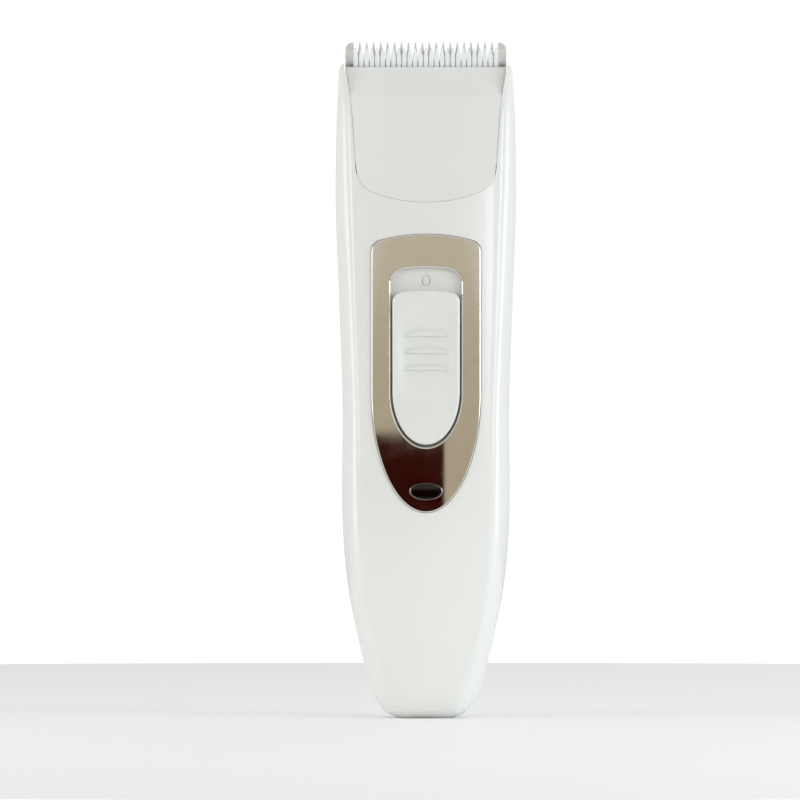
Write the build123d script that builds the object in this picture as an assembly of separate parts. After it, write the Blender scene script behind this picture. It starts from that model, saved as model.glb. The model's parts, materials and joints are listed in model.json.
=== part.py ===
from build123d import *
import os

# Cordless pet clipper, standing on the flat end of its handle.
# X is across the clipper, the switch side faces -Y, Z runs up towards the blade tips.
# All lengths are in millimetres. The origin is the centre of the flat end.

# ---- outer body ------------------------------------------------------------------
# Stations up the body: height, half width, half width of the front panel,
# front surface on the centre line, back surface on the centre line.
STATIONS = [
    (0.0, 7.4, 4.4, -6.6, 6.6),
    (1.2, 10.2, 6.0, -9.5, 9.2),
    (2.4, 11.4, 6.8, -10.9, 10.5),
    (5.2, 13.2, 7.7, -12.5, 11.9),
    (8.3, 14.3, 8.6, -13.6, 13.0),
    (14.6, 16.2, 11.0, -15.3, 14.7),
    (22.0, 17.9, 13.2, -16.7, 16.2),
    (33.0, 20.1, 15.2, -18.1, 17.7),
    (45.0, 21.4, 16.3, -19.0, 18.8),
    (60.0, 21.9, 16.9, -19.5, 19.4),
    (80.0, 21.7, 17.3, -19.4, 19.2),
    (108.0, 22.6, 18.3, -18.4, 17.7),
    (133.0, 23.5, 19.0, -15.7, 14.4),
    (150.0, 23.4, 19.6, -12.9, 10.3),
    (161.0, 23.0, 20.0, -10.4, 8.4),
    (172.0, 22.5, 19.8, -5.6, 6.2),
]
PANEL_RADIUS = 78.0
PANEL_KINK = 0.22
FLANK_HOLD = 0.55
BACK_HOLD = 0.72
WALL = 2.0
FLOOR_TOP = 8.3
END_STEPS = 8
BODY_STEPS = 21
SHOULDER_TOP = 170.5
SHOULDER_HALF = 22.6
SHOULDER_RADIUS = 2.0
PARTING_Y = 0.0
# Tool bodies reach this far past the clipper, to its sides and in front of it.
REACH = 30.0
FAR_FRONT = -25.0

# ---- chrome bezel, switch opening and power button ---------------------------------
BEZEL_HALF = 14.17
BEZEL_TOP = 125.6
BEZEL_STRAIGHT = 84.5
BEZEL_DROP = 30.9
BEZEL_ARCH = 2.3
BEZEL_CORNER = 2.8
BEZEL_PROUD = 0.5
BEZEL_SUNK = 0.7
OPENING_HALF = 9.35
OPENING_TOP = 117.2
OPENING_DROP = 14.2
OPENING_ARCH = 1.0
OPENING_CORNER = 4.2
RECESS_FLOOR = -16.2
RECESS_WALL = 1.5
BUTTON_HALF = 8.7
BUTTON_TOP = 111.15
BUTTON_STRAIGHT = 84.8
BUTTON_DROP = 13.7
BUTTON_CORNER = 2.6
BUTTON_FACE = -20.8
BUTTON_BACK = -16.35
BUTTON_TRAVEL = 5.0
DISH_CENTRE = 95.0
DISH_HALF = 12.4
DISH_DEPTH = 1.7
GRIP_HEIGHTS = (99.3, 94.9, 90.5)
GRIP_HALF = 5.6
GRIP_RISE = 1.5
STEM_HALF = 1.8
STEM_LOW = 86.0
STEM_HIGH = 96.0
CARRIER_FRONT = -14.6
CARRIER_BACK = -13.9
LENS_Z = 59.07
LENS_HALF_WIDTH = 4.25
LENS_HALF_HEIGHT = 2.25
LENS_BACK = -15.2

# ---- blade set ---------------------------------------------------------------------
BLADE_TILT = 16.0
TIP_Y = 3.0
TIP_Z = 176.0
FIXED_HALF = 21.0
FIXED_LENGTH = 24.0
FIXED_THICK = 1.2
FIXED_TEETH = 20
FIXED_PITCH = 1.815
SLOT_MOUTH = 1.8
SLOT_ROOT = 0.8
SLOT_TAPER = 2.8
SLOT_DEPTH = 4.2
TIP_BEVEL = 1.8
MOVING_TIP = -1.15
MOVING_HALF = 18.85
MOVING_LENGTH = 14.0
MOVING_THICK = 1.5
MOVING_TEETH = 27
MOVING_PITCH = 1.407
MOVING_GAP = 0.14
MOVING_DEPTH = 6.0
MOVING_POINT = 2.0
POINT_HALF = 0.12
GROOVE_HALF = 0.36
GROOVE_DEPTH = 0.42
BLADE_GAP = 0.03
BLADE_SCREW_X = 13.5
BLADE_SCREW_U = -20.5

# ---- clip-on head ------------------------------------------------------------------
COVER_TOP = 169.5
COVER_TOP_HALF = 21.05
COVER_CREASE = 161.5
COVER_CREASE_HALF = 19.6
COVER_LOW_HALF = 17.9
COVER_LOW_SIDE = 138.4
COVER_BOTTOM = 133.9
COVER_CORNER = 7.3
COVER_FIT = 0.15
MOUTH_HALF = 21.3
HOLDER_HALF = 20.9
HOLDER_TOP = -16.4
HOLDER_FRONT = -7.0
BRIDGE_FRONT = -3.6
WINDOW_HALF = 7.0
TONGUE_IN = 8.1
TONGUE_OUT = 10.9
TONGUE_FRONT = 1.5
TONGUE_BACK = 4.5
TONGUE_LOW = 134.5

# ---- drive -------------------------------------------------------------------------
SHAFT_Y = 1.5
SHAFT_RADIUS = 1.0
SHAFT_TOP = 130.0
BUSH_CLEARANCE = 0.03
THROW = 1.0
PIN_RADIUS = 1.25
PIN_LOW = 130.4
PIN_TOP = 139.5
YOKE_CLEARANCE = 0.25
CAM_RADIUS = 4.2
CAM_LOW = 128.2
CAM_TOP = 132.6
MOTOR_WIDE = 20.0
MOTOR_DEEP = 15.0
MOTOR_LOW = 94.0
MOTOR_TOP = 124.0
MOTOR_WALL = 0.8
ROTOR_RADIUS = 5.6
MAGNET_BORE = 6.0
MOUNT_PLATE_TOP = 126.5

# ---- electrics ---------------------------------------------------------------------
CELL_RADIUS = 7.25
CELL_LENGTH = 50.5
CELL_LOW = 20.0
CELL_X = 7.4
CELL_Y = 3.0
BOARD_HALF = 9.5
BOARD_FRONT = -11.6
BOARD_BACK = -10.0
BOARD_LOW = 48.0
BOARD_TOP = 116.0
SOCKET_RADIUS = 1.8
SOCKET_MOUTH = 0.6
SOCKET_DEPTH = 12.0
SOCKET_NOSE = 3.0
WIRE_RADIUS = 0.5

# ---- fasteners: place across and up ------------------------------------------------
HOUSING_SCREWS = [(9.5, 14.5), (-9.5, 14.5), (16.0, 131.0), (-16.0, 131.0)]
BOARD_SCREWS = [(7.0, 63.0), (-7.0, 63.0), (7.0, 113.5), (-7.0, 113.5)]
MOTOR_SCREW_X = 5.5
SCREW_RADIUS = 1.0
BOSS_RADIUS = 2.8
HEAD_RADIUS = 2.1
SEAT_RADIUS = 2.4
SEAT_Y = 6.0
SMALL_SCREW_RADIUS = 0.9
SMALL_HEAD_RADIUS = 1.8


def block(x0, x1, y0, y1, z0, z1):
    """Box between two corners."""
    place = Pos((x0 + x1) / 2, (y0 + y1) / 2, (z0 + z1) / 2)
    return place * Box(x1 - x0, y1 - y0, z1 - z0)


def rod(radius, low, high, x=0.0, y=0.0):
    """Upright cylinder."""
    return Pos(x, y, (low + high) / 2) * Cylinder(radius, high - low)


def rod_y(radius, front, back, x, z):
    """Cylinder along Y."""
    return Pos(x, (front + back) / 2, z) * Rot(90, 0, 0) * Cylinder(radius, back - front)


def both_sides(shape):
    """A shape and its mirror image across the middle plane."""
    return shape + mirror(shape, about=Plane.YZ)


def front_prism(outline, front, back):
    """Outline drawn in X and Z, made solid between two depths."""
    return Pos(0, back, 0) * Rot(90, 0, 0) * extrude(outline, back - front)


def in_blade_frame(shape):
    """From blade axes (X across, Y through the blade, Z to the tips) to the clipper's."""
    return Pos(0, TIP_Y, TIP_Z) * Rot(BLADE_TILT, 0, 0) * shape


# ---- body shape --------------------------------------------------------------------
def slope_at(index, column):
    """Slope of one station column at one station, from its neighbours."""
    low = STATIONS[max(index - 1, 0)]
    high = STATIONS[min(index + 1, len(STATIONS) - 1)]
    return (high[column] - low[column]) / (high[0] - low[0])


def station_at(z):
    """Station values at any height, on a smooth curve through the listed stations."""
    index = max(i for i, row in enumerate(STATIONS[:-1]) if row[0] <= z)
    low, high = STATIONS[index], STATIONS[index + 1]
    span = high[0] - low[0]
    t = (z - low[0]) / span
    values = [z]
    for column in range(1, len(low)):
        start, end = low[column], high[column]
        lean_out = slope_at(index, column) * span
        lean_in = slope_at(index + 1, column) * span
        blend = t * t * (3 - 2 * t)
        bend = t * (1 - t) * ((1 - t) * lean_out - t * lean_in)
        values.append(start + blend * (end - start) + bend)
    return values


def section(station, inset):
    """Cross-section of the body: gently arched panel, round flanks, full back."""
    z, half, panel, front, back = station
    half -= inset
    panel -= 0.6 * inset
    front += inset
    back -= inset
    slope = panel / PANEL_RADIUS
    edge = front + panel * slope / 2
    reach = FLANK_HOLD * (half - panel)
    turn = edge + reach * (slope + PANEL_KINK)
    face = Bezier((-panel, edge, z), (0, 2 * front - edge, z), (panel, edge, z))
    right_flank = Bezier(
        (panel, edge, z), (panel + reach, turn, z), (half, edge * FLANK_HOLD, z), (half, 0, z)
    )
    right_back = Bezier(
        (half, 0, z), (half, BACK_HOLD * back, z), (BACK_HOLD * half, back, z), (0, back, z)
    )
    left_back = Bezier(
        (0, back, z), (-BACK_HOLD * half, back, z), (-half, BACK_HOLD * back, z), (-half, 0, z)
    )
    left_flank = Bezier(
        (-half, 0, z), (-half, edge * FLANK_HOLD, z), (-panel - reach, turn, z), (-panel, edge, z)
    )
    return Face(Wire([face, right_flank, right_back, left_back, left_flank]))


def body_span(low, high, steps, inset):
    """Smooth solid through evenly spaced sections, taken in or let out by inset."""
    heights = [low + (high - low) * step / steps for step in range(steps + 1)]
    return loft([section(station_at(z), inset) for z in heights])


def handle_span(inset=0.0):
    """Everything above the rounded end of the handle."""
    return body_span(FLOOR_TOP, STATIONS[-1][0], BODY_STEPS, inset)


def whole_body():
    """Rounded end, handle and head, with round shoulders beside the blade."""
    body = body_span(0.0, FLOOR_TOP, END_STEPS, 0.0) + handle_span()
    centre = SHOULDER_HALF - SHOULDER_RADIUS
    corner = block(centre, REACH, -REACH, REACH, SHOULDER_TOP - SHOULDER_RADIUS, 180)
    corner -= rod_y(SHOULDER_RADIUS, -REACH, REACH, centre, SHOULDER_TOP - SHOULDER_RADIUS)
    return body - both_sides(corner) - block(-REACH, REACH, -REACH, REACH, SHOULDER_TOP, 180)


# ---- outlines of the front features --------------------------------------------------
def arched_outline(half, top, straight, drop, arch, corner):
    """Straight sides, a low arch on top with round corners, half an ellipse below."""
    side_top = top - arch
    arc = ThreePointArc((half, side_top), (0, top), (-half, side_top))
    left = Line((-half, side_top), (-half, straight))
    bowl = EllipticalCenterArc((0, straight), half, drop, start_angle=180, arc_size=180)
    right = Line((half, straight), (half, side_top))
    shape = make_face([arc, left, bowl, right])
    return fillet(shape.vertices().group_by(Axis.Y)[-1], corner)


def bezel_outline(grow=0.0):
    return arched_outline(
        BEZEL_HALF + grow,
        BEZEL_TOP + grow,
        BEZEL_STRAIGHT,
        BEZEL_DROP + grow,
        BEZEL_ARCH,
        BEZEL_CORNER + grow,
    )


def opening_outline(grow=0.0):
    return arched_outline(
        OPENING_HALF + grow,
        OPENING_TOP + grow,
        BEZEL_STRAIGHT,
        OPENING_DROP + grow,
        OPENING_ARCH,
        OPENING_CORNER + grow,
    )


def button_outline():
    return arched_outline(
        BUTTON_HALF, BUTTON_TOP, BUTTON_STRAIGHT, BUTTON_DROP, OPENING_ARCH, BUTTON_CORNER
    )


def lens_outline():
    return Pos(0, LENS_Z) * Ellipse(LENS_HALF_WIDTH, LENS_HALF_HEIGHT)


def cover_outline(grow=0.0):
    """Shield of the clip-on head, wider towards the blade."""
    low_side = (COVER_LOW_HALF + grow, COVER_LOW_SIDE)
    crease_side = (COVER_CREASE_HALF + grow, COVER_CREASE)
    top_side = (COVER_TOP_HALF + grow, COVER_TOP)
    base = ThreePointArc(
        (-low_side[0], low_side[1]), (0, COVER_BOTTOM - grow), (low_side[0], low_side[1])
    )
    side = Line(low_side, crease_side)
    upper = Line(crease_side, top_side)
    top = Line(top_side, (-top_side[0], top_side[1]))
    left_upper = Line((-top_side[0], top_side[1]), (-crease_side[0], crease_side[1]))
    left_side = Line((-crease_side[0], crease_side[1]), (-low_side[0], low_side[1]))
    shape = make_face([base, side, upper, top, left_upper, left_side])
    corners = shape.vertices().filter_by_position(Axis.Y, COVER_BOTTOM, COVER_LOW_SIDE + 1)
    return fillet(corners, COVER_CORNER)


# ---- housing ---------------------------------------------------------------------------
def head_mouth():
    """Space between the shoulders that the clip-on head fills."""
    room = block(-MOUTH_HALF, MOUTH_HALF, -9.0, 20.0, -FIXED_LENGTH - 0.4, 12.0)
    above = Pos(0, 0, COVER_TOP - COVER_FIT) * extrude(Rectangle(2 * MOUTH_HALF, 60), 10)
    return in_blade_frame(room) + above + front_prism(cover_outline(COVER_FIT), FAR_FRONT, -3)


def switch_well(body):
    """Walls and floor of the recess that the power button slides in."""
    return front_prism(opening_outline(RECESS_WALL), FAR_FRONT, RECESS_FLOOR + RECESS_WALL) & body


def socket_hole():
    return rod(SOCKET_NOSE, -1, FLOOR_TOP + 1)


def front_housing(body, cavity, sunk):
    shell = body - cavity
    shell += switch_well(body)
    for x, z in HOUSING_SCREWS:
        shell += rod_y(BOSS_RADIUS, -14, PARTING_Y, x, z) & body
    for x, z in BOARD_SCREWS:
        shell += rod_y(1.8, -18, BOARD_FRONT, x, z) & body
    shell -= front_prism(opening_outline(), FAR_FRONT, RECESS_FLOOR)
    shell -= front_prism(bezel_outline(), FAR_FRONT, -5) & (body - sunk)
    shell -= block(-2.0, 2.0, -17, -14, STEM_LOW - 0.2, STEM_HIGH + BUTTON_TRAVEL + 0.2)
    shell -= front_prism(lens_outline(), FAR_FRONT, -14)
    for x, z in HOUSING_SCREWS:
        shell -= rod_y(SCREW_RADIUS, -10, 1, x, z)
    for x, z in BOARD_SCREWS:
        shell -= rod_y(SMALL_SCREW_RADIUS, -15.4, -10, x, z)
    shell -= head_mouth()
    shell -= socket_hole()
    return shell & block(-REACH, REACH, -40, PARTING_Y, -1, 180)


def rear_housing(body, cavity):
    shell = body - cavity
    for x, z in HOUSING_SCREWS:
        shell += rod_y(BOSS_RADIUS + 0.6, PARTING_Y, 25, x, z) & body
    for x, z in HOUSING_SCREWS:
        shell -= rod_y(SCREW_RADIUS + 0.15, -1, 25, x, z)
        shell -= rod_y(SEAT_RADIUS, SEAT_Y, 25, x, z)
    shell -= head_mouth()
    shell -= socket_hole()
    return shell & block(-REACH, REACH, PARTING_Y, 40, -1, 180)


def housing_screws():
    screws = Part()
    for x, z in HOUSING_SCREWS:
        screw = rod_y(SCREW_RADIUS, -10, SEAT_Y, x, z) + rod_y(HEAD_RADIUS, SEAT_Y, 7.8, x, z)
        screw -= block(x - 1.4, x + 1.4, 7.1, 8.5, z - 0.3, z + 0.3)
        screw -= block(x - 0.3, x + 0.3, 7.1, 8.5, z - 1.4, z + 1.4)
        screws += screw
    return screws


# ---- switch ---------------------------------------------------------------------------
def switch_bezel(proud, sunk):
    ring = front_prism(bezel_outline(), FAR_FRONT, -5) - front_prism(opening_outline(), FAR_FRONT, -5)
    ring -= front_prism(lens_outline(), FAR_FRONT, -5)
    return ring & (proud - sunk)


def led_lens(body):
    return front_prism(lens_outline(), FAR_FRONT, LENS_BACK) & body


def grip_outline(z):
    """Crescent with a flat lower edge."""
    arc = ThreePointArc((GRIP_HALF, z), (0, z + GRIP_RISE), (-GRIP_HALF, z))
    return make_face([arc, Line((-GRIP_HALF, z), (GRIP_HALF, z))])


def switch_button():
    """Sliding button with a dished thumb rest and three crescent grips."""
    button = front_prism(button_outline(), BUTTON_FACE, BUTTON_BACK)
    radius = (DISH_HALF**2 + DISH_DEPTH**2) / (2 * DISH_DEPTH)
    centre = BUTTON_FACE + DISH_DEPTH - radius
    dish = Pos(0, centre, DISH_CENTRE) * Rot(0, 90, 0) * Cylinder(radius, 2 * BUTTON_HALF - 3.2)
    button -= dish
    for z in GRIP_HEIGHTS:
        button += front_prism(grip_outline(z), BUTTON_FACE + 0.75, BUTTON_FACE + 2.2)
    return button


def switch_carrier():
    """Stem through the floor slot and the plate behind it that keeps the button in."""
    stem = block(-STEM_HALF, STEM_HALF, BUTTON_BACK, CARRIER_FRONT, STEM_LOW, STEM_HIGH)
    plate = block(-5, 5, CARRIER_FRONT, CARRIER_BACK, 82, 100)
    return stem + plate


def switch_slider():
    return block(-1, 1, CARRIER_BACK, -12.4, 91, 93)


def power_switch():
    """Slide switch on the board, open at the front for its slider."""
    body = block(-4.5, 4.5, -13.6, BOARD_FRONT, 88, 101)
    return body - block(-1.2, 1.2, -14, -12.3, 90.8, 93.2 + BUTTON_TRAVEL)


# ---- electrics ----------------------------------------------------------------------------
def circuit_board():
    board = block(-BOARD_HALF, BOARD_HALF, BOARD_FRONT, BOARD_BACK, BOARD_LOW, BOARD_TOP)
    for x, z in BOARD_SCREWS:
        board -= rod_y(1.0, BOARD_FRONT - 1, BOARD_BACK + 1, x, z)
    return board


def board_components():
    """Charging chip, driver, choke, capacitor and a row of small parts."""
    parts = block(-3, 3, BOARD_BACK, -8.4, 92, 97)
    parts += block(2.5, 7.0, BOARD_BACK, -8.2, 52, 56.5)
    parts += rod_y(2.4, BOARD_BACK, -6.4, -4.5, 55)
    parts += block(-6.5, -2.5, BOARD_BACK, -7.8, 100, 104)
    for step in range(4):
        parts += block(-1.0, 1.0, BOARD_BACK, -9.4, 62 + 3 * step, 63.2 + 3 * step)
    return parts


def charge_led():
    return rod_y(1.5, -14.8, BOARD_FRONT, 0, LENS_Z)


def board_screws():
    screws = Part()
    for x, z in BOARD_SCREWS:
        screws += rod_y(SMALL_SCREW_RADIUS, -15.2, BOARD_BACK, x, z)
        screws += rod_y(SMALL_HEAD_RADIUS, BOARD_BACK, -8.8, x, z)
    return screws


def battery_cell(x):
    high = CELL_LOW + CELL_LENGTH
    can = rod(CELL_RADIUS, CELL_LOW, high - 1.2, x, CELL_Y)
    return can + rod(2.7, high - 1.2, high, x, CELL_Y)


def battery_tabs():
    """Nickel strips: one joins the cells below, one on each cell above."""
    high = CELL_LOW + CELL_LENGTH
    low_strip = block(-CELL_X - 3, CELL_X + 3, CELL_Y - 2, CELL_Y + 2, CELL_LOW - 0.3, CELL_LOW)
    high_strip = block(CELL_X - 2, CELL_X + 2, CELL_Y - 4, CELL_Y + 2.5, high, high + 0.3)
    return low_strip + both_sides(high_strip)


def battery_cradle(cavity):
    """Two cross ribs and a back wall that seat the cells in the housing."""
    ribs = block(-REACH, REACH, -6, 12, 27, 30) + block(-REACH, REACH, -6, 12, 57, 60)
    cradle = (ribs + block(-12, 12, 10.6, 12, 27, 60)) & cavity
    cradle -= rod(CELL_RADIUS, 0, 80, CELL_X, CELL_Y)
    cradle -= rod(CELL_RADIUS, 0, 80, -CELL_X, CELL_Y)
    return cradle - block(-2.4, 2.4, -8, -1.5, 20, 70)


def charge_socket():
    """Barrel socket for a pinless plug, its nose in the flat end."""
    body = rod(SOCKET_NOSE, SOCKET_MOUTH, FLOOR_TOP)
    body += block(-3.6, 3.6, -3.6, 3.6, FLOOR_TOP, 14.0)
    return body - rod(SOCKET_RADIUS, SOCKET_MOUTH - 1, SOCKET_MOUTH + SOCKET_DEPTH)


def socket_contacts():
    """Solder tags on the socket's back."""
    return both_sides(block(0.7, 1.7, -3.0, -2.5, 14.0, 16.4))


def wire(*points):
    """One insulated lead along straight runs with tangent bends."""
    path = FilletPolyline(*points, radius=2.0)
    start = Plane(origin=path @ 0, z_dir=path % 0)
    return sweep(start * Circle(WIRE_RADIUS), path)


def socket_wires():
    lead = wire((1.2, -2.75, 16.4), (1.2, -2.75, 51), (1.2, BOARD_BACK, 51))
    return both_sides(lead)


def battery_wires():
    high = CELL_LOW + CELL_LENGTH + 0.3
    return both_sides(wire((7.4, 1, high), (7.4, 1, high + 4), (7.4, BOARD_BACK, high + 4)))


def motor_wires():
    return both_sides(wire((5, SHAFT_Y, 88), (5, SHAFT_Y, 83), (5, BOARD_BACK, 83)))


# ---- motor ---------------------------------------------------------------------------------
def motor_prism(shrink, low, high):
    outline = RectangleRounded(
        MOTOR_WIDE - 2 * shrink, MOTOR_DEEP - 2 * shrink, MOTOR_DEEP / 2 - shrink - 0.2
    )
    return Pos(0, SHAFT_Y, low) * extrude(outline, high - low)


def motor_can():
    can = motor_prism(0, MOTOR_LOW, MOTOR_TOP)
    can -= motor_prism(MOTOR_WALL, MOTOR_LOW - 1, MOTOR_TOP - 1.0)
    can -= rod(3.0, MOTOR_TOP - 2, MOTOR_TOP + 1, 0, SHAFT_Y)
    for side in (-1, 1):
        can -= rod(SMALL_SCREW_RADIUS, MOTOR_TOP - 2, MOTOR_TOP + 1, side * MOTOR_SCREW_X, SHAFT_Y)
    return can


def motor_end_cap():
    cap = motor_prism(0, MOTOR_LOW - 3, MOTOR_LOW)
    return cap - rod(2.5, MOTOR_LOW - 4, MOTOR_LOW + 1, 0, SHAFT_Y)


def motor_bushes():
    hole = rod(SHAFT_RADIUS + BUSH_CLEARANCE, MOTOR_LOW - 5, MOTOR_TOP + 5, 0, SHAFT_Y)
    low = rod(2.5, MOTOR_LOW - 2.6, MOTOR_LOW, 0, SHAFT_Y)
    high = rod(3.0, MOTOR_TOP - 2.5, MOTOR_TOP + 0.8, 0, SHAFT_Y)
    return (low + high) - hole


def motor_magnets():
    ring = motor_prism(MOTOR_WALL, 101, 117) - rod(MAGNET_BORE, 100, 118, 0, SHAFT_Y)
    return ring - block(-3, 3, -20, 20, 100, 118)


def motor_brushes():
    return both_sides(block(2.27, 5.0, SHAFT_Y - 1, SHAFT_Y + 1, MOTOR_LOW, 97.5))


def motor_terminals():
    return both_sides(block(4.7, 5.3, SHAFT_Y - 1.2, SHAFT_Y + 1.2, 88, MOTOR_LOW - 3))


def motor_sleeve():
    """Rubber sleeve that keeps the motor's buzz out of the housing."""
    return motor_prism(-1.4, 99, 117) - motor_prism(0, 98, 118)


def motor_mount(cavity):
    """Plate across the housing that carries the motor and the two head clips."""
    plate = block(-REACH, REACH, -REACH, REACH, MOTOR_TOP, MOUNT_PLATE_TOP) & cavity
    plate += both_sides(block(7.6, 11.4, 0.8, 5.2, MOTOR_TOP, 132.0))
    plate -= rod(3.0, MOTOR_TOP - 1, MOUNT_PLATE_TOP + 1, 0, SHAFT_Y)
    for side in (-1, 1):
        plate -= rod(1.0, MOTOR_TOP - 1, MOUNT_PLATE_TOP + 1, side * MOTOR_SCREW_X, SHAFT_Y)
    return plate


def motor_screws():
    screws = Part()
    for side in (-1, 1):
        x = side * MOTOR_SCREW_X
        screws += rod(SMALL_SCREW_RADIUS, MOTOR_TOP - 1.0, MOUNT_PLATE_TOP, x, SHAFT_Y)
        screws += rod(1.6, MOUNT_PLATE_TOP, MOUNT_PLATE_TOP + 1.2, x, SHAFT_Y)
    return screws


def head_clips():
    """Spring clips that grip the head's two tongues."""
    clip = block(TONGUE_IN, TONGUE_OUT, 0.8, 5.2, 132.0, 142.5)
    clip -= block(TONGUE_IN - 1, TONGUE_OUT + 1, 1.2, 4.8, 132.4, 143)
    return both_sides(clip)


def hair_guard(cavity):
    """Foam plate that keeps cut hair out of the motor bay."""
    guard = block(-REACH, REACH, -9.5, 30, 143.2, 144.7) & cavity
    guard -= block(-5.5, 5.5, -2.5, 5.5, 143, 145)
    return guard - both_sides(block(TONGUE_IN - 0.4, TONGUE_OUT + 0.4, 1.0, 5.0, 143, 145))


# ---- rotor ----------------------------------------------------------------------------------
def motor_shaft():
    return rod(SHAFT_RADIUS, MOTOR_LOW - 2.6, SHAFT_TOP, 0, SHAFT_Y)


def shaft_bore():
    """Hole for the shaft through the pieces that are pressed on it."""
    return rod(SHAFT_RADIUS, MOTOR_LOW - 4, SHAFT_TOP, 0, SHAFT_Y)


def rotor_core():
    """Three-pole lamination stack."""
    core = Cylinder(ROTOR_RADIUS, 14)
    for pole in range(3):
        slot = Pos(3.2, 0, 0) * Box(2.4, 2.4, 15) + Pos(5, 0, 0) * Box(3, 0.8, 15)
        core -= Rot(0, 0, 60 + 120 * pole) * slot
    return Pos(0, SHAFT_Y, 109) * core - shaft_bore()


def rotor_windings(core):
    coil = rod(4.9, 99.6, 118.4, 0, SHAFT_Y) - rod(ROTOR_RADIUS + 1, 102, 116, 0, SHAFT_Y)
    for pole in range(3):
        fill = Rot(0, 0, 60 + 120 * pole) * Pos(3.2, 0, 0) * Box(2.3, 2.3, 14)
        coil += Pos(0, SHAFT_Y, 109) * fill
    return coil - shaft_bore() - core


def commutator():
    return rod(2.2, 94.6, 98.6, 0, SHAFT_Y) - shaft_bore()


def eccentric_cam():
    cam = rod(CAM_RADIUS, CAM_LOW, CAM_TOP, 0, SHAFT_Y)
    cam += rod(2.4, CAM_LOW - 1.2, CAM_LOW, 0, SHAFT_Y)
    cam -= shaft_bore()
    return cam - rod(PIN_RADIUS, PIN_LOW, CAM_TOP + 1, 0, SHAFT_Y - THROW)


def eccentric_pin():
    return rod(PIN_RADIUS, PIN_LOW, PIN_TOP, 0, SHAFT_Y - THROW)


# ---- blade set (built in blade axes, tips at Z 0, back face at Y 0) -----------------------------
def fixed_slot(x):
    """Gap between two teeth, wider at the tips, round at the root."""
    mouth = SLOT_MOUTH / 2
    root = SLOT_ROOT / 2
    points = [(x - mouth, 1), (x - root, -SLOT_TAPER), (x - root, -SLOT_DEPTH)]
    points += [(x + root, -SLOT_DEPTH), (x + root, -SLOT_TAPER), (x + mouth, 1)]
    outline = make_face(Polyline(*points, close=True))
    return outline + Pos(x, -SLOT_DEPTH) * Circle(root)


def fixed_blade():
    outline = Pos(0, -FIXED_LENGTH / 2) * Rectangle(2 * FIXED_HALF, FIXED_LENGTH)
    outline = fillet(outline.vertices().group_by(Axis.Y)[-1], 1.9)
    outline = fillet(outline.vertices().group_by(Axis.Y)[0], 1.0)
    for index in range(FIXED_TEETH + 1):
        outline -= fixed_slot((index - FIXED_TEETH / 2) * FIXED_PITCH)
    for side in (-1, 1):
        outline -= Pos(side * BLADE_SCREW_X, BLADE_SCREW_U) * Circle(1.15)
    blade = front_prism(outline, -FIXED_THICK, 0)
    bevel = Polyline((-FIXED_THICK - 1, 1), (-0.35, 1), (-0.35, 0), (-FIXED_THICK, -TIP_BEVEL),
                     (-FIXED_THICK - 1, -TIP_BEVEL), close=True)
    wedge = extrude(Plane.YZ * make_face(bevel), 30, both=True)
    blade -= wedge
    for side in (-1, 1):
        blade -= blade_screw_head(side * BLADE_SCREW_X)
    return blade


def blade_screw_head(x):
    """Countersunk head, its flat in the blade's back face."""
    cone = Cone(1.05, 2.05, 1.0)
    return Pos(x, -0.5, BLADE_SCREW_U) * Rot(-90, 0, 0) * cone


def blade_screws():
    screws = Part()
    for side in (-1, 1):
        x = side * BLADE_SCREW_X
        screw = blade_screw_head(x) + rod_y(SCREW_RADIUS, -6, -0.9, x, BLADE_SCREW_U)
        screw -= block(x - 1.2, x + 1.2, -0.4, 1, BLADE_SCREW_U - 0.25, BLADE_SCREW_U + 0.25)
        screw -= block(x - 0.25, x + 0.25, -0.4, 1, BLADE_SCREW_U - 1.2, BLADE_SCREW_U + 1.2)
        screws += screw
    return screws


def moving_gaps():
    """Places of the gaps between the moving teeth."""
    return [(index - MOVING_TEETH / 2 + 1) * MOVING_PITCH for index in range(MOVING_TEETH - 1)]


def moving_outline():
    """Comb of narrow pointed teeth."""
    low = MOVING_TIP - MOVING_LENGTH
    plate = Pos(0, (low + MOVING_TIP) / 2) * Rectangle(2 * MOVING_HALF, MOVING_LENGTH)
    gap = MOVING_GAP / 2
    mouth = MOVING_PITCH / 2 - POINT_HALF
    point = MOVING_TIP - MOVING_POINT
    root = MOVING_TIP - MOVING_DEPTH
    for x in moving_gaps():
        points = [(x - mouth, MOVING_TIP + 0.1), (x - gap, point), (x - gap, root)]
        points += [(x + gap, root), (x + gap, point), (x + mouth, MOVING_TIP + 0.1)]
        plate -= make_face(Polyline(*points, close=True))
    return plate


def tooth_groove(x, face):
    """Bevels on the two teeth beside one gap, as one wedge along the gap."""
    wedge = Polyline(
        (x - GROOVE_HALF, face), (x, face + GROOVE_DEPTH), (x + GROOVE_HALF, face), (x, face - 1), close=True
    )
    return Pos(0, 0, MOVING_TIP - MOVING_DEPTH) * extrude(make_face(wedge), MOVING_DEPTH + 1)


def moving_blade():
    back = -FIXED_THICK - BLADE_GAP
    blade = front_prism(moving_outline(), back - MOVING_THICK, back)
    blade -= [tooth_groove(x, back - MOVING_THICK) for x in moving_gaps()]
    for side in (-1, 1):
        blade -= rod_y(SCREW_RADIUS, back - 3, back - 0.4, side * 6, -11.5)
    return blade


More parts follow.
